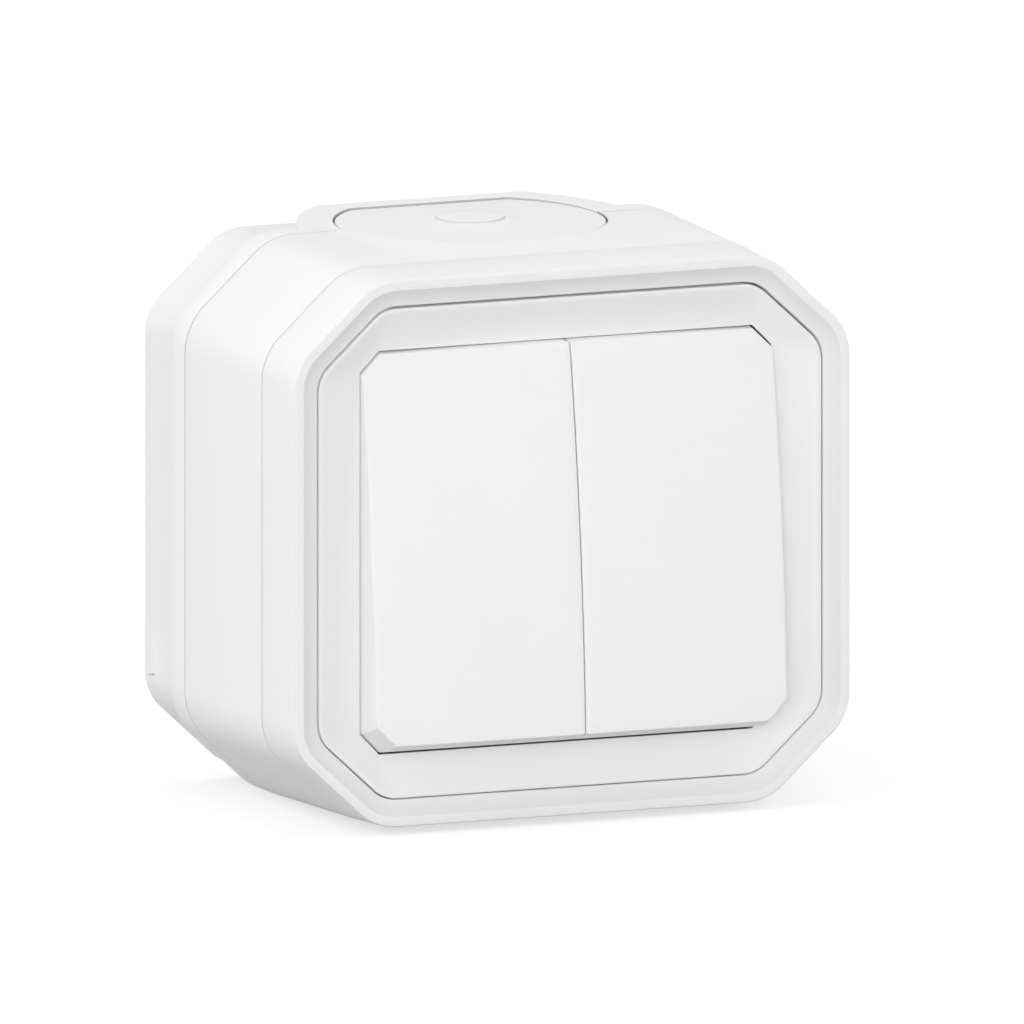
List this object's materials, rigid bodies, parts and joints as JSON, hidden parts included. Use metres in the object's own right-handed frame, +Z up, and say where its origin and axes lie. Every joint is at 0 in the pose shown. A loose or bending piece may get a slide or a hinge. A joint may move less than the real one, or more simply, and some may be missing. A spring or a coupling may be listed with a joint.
{
  "type": "weatherproof surface switch",
  "caption": "White surface-mounted weatherproof rocker switch: stepped box with cut corners, side-by-side rocker keys in a dished plate, and a round cable gland on top.",
  "frame": {"origin": "centre of the back face, on the wall", "axes": "+Z up, +X to the right seen from the front, the front faces -Y and the wall is the plane Y = 0"},
  "size_m": [0.0842, 0.0581, 0.0784],
  "materials": {
    "case_plastic": "satin white moulding with a fine grain",
    "front_plastic": "satin white moulding",
    "key_plastic": "smooth white moulding, slightly glossy",
    "gland_rubber": "soft white elastomer",
    "seal_rubber": "dark grey elastomer",
    "frame_plastic": "grey moulding",
    "block_plastic": "light grey moulding",
    "cover_plastic": "dark blue-grey moulding",
    "cradle_plastic": "grey low-friction moulding",
    "plunger_plastic": "natural low-friction moulding",
    "spring_steel": "bright spring wire",
    "steel": "zinc-plated steel",
    "copper": "bare copper alloy",
    "brass": "bare brass",
    "contact_metal": "silver alloy"
  },
  "bodies": {
    "case": {"rear_base": "case_plastic", "middle_housing": "case_plastic", "front_collar": "case_plastic", "key_surround": "front_plastic", "cable_gland": "gland_rubber", "base_gasket": "seal_rubber", "collar_gasket": "seal_rubber", "support_frame": "frame_plastic", "splash_seal": "seal_rubber", "mechanism_block": "block_plastic", "terminal_cover": "cover_plastic", "fixed_contacts": "contact_metal", "terminal_screws": "steel", "mechanism_screws": "steel", "case_screws": "steel", "rocker_axle": "steel", "left_upper_terminal": "brass", "left_lower_terminal": "brass", "left_common_terminal": "brass", "right_upper_terminal": "brass", "right_lower_terminal": "brass", "right_common_terminal": "brass"},
    "left_rocker": {"left_key": "key_plastic", "left_cradle": "cradle_plastic", "left_plunger": "plunger_plastic", "left_spring": "spring_steel"},
    "left_arm": {"left_contact_arm": "copper", "left_arm_contacts": "contact_metal"},
    "right_rocker": {"right_key": "key_plastic", "right_cradle": "cradle_plastic", "right_plunger": "plunger_plastic", "right_spring": "spring_steel"},
    "right_arm": {"right_contact_arm": "copper", "right_arm_contacts": "contact_metal"}
  },
  "joints": [
    {"name": "left_rocker_tilt", "type": "hinge", "parent": "case", "child": "left_rocker", "pos_m": [-0.0129, -0.0478, 0], "axis": [1, 0, 0], "range_deg": [0, 11.82]},
    {"name": "left_arm_tilt", "type": "hinge", "parent": "case", "child": "left_arm", "pos_m": [-0.0129, -0.0317, 0], "axis": [1, 0, 0], "range_deg": [-14, 0]},
    {"name": "right_rocker_tilt", "type": "hinge", "parent": "case", "child": "right_rocker", "pos_m": [0.0129, -0.0478, 0], "axis": [1, 0, 0], "range_deg": [0, 11.82]},
    {"name": "right_arm_tilt", "type": "hinge", "parent": "case", "child": "right_arm", "pos_m": [0.0129, -0.0317, 0], "axis": [1, 0, 0], "range_deg": [-14, 0]}
  ],
  "couplings": [
    {"joint": "left_arm_tilt", "follows": "left_rocker_tilt", "ratio": -1.1844},
    {"joint": "right_arm_tilt", "follows": "right_rocker_tilt", "ratio": -1.1844}
  ]
}
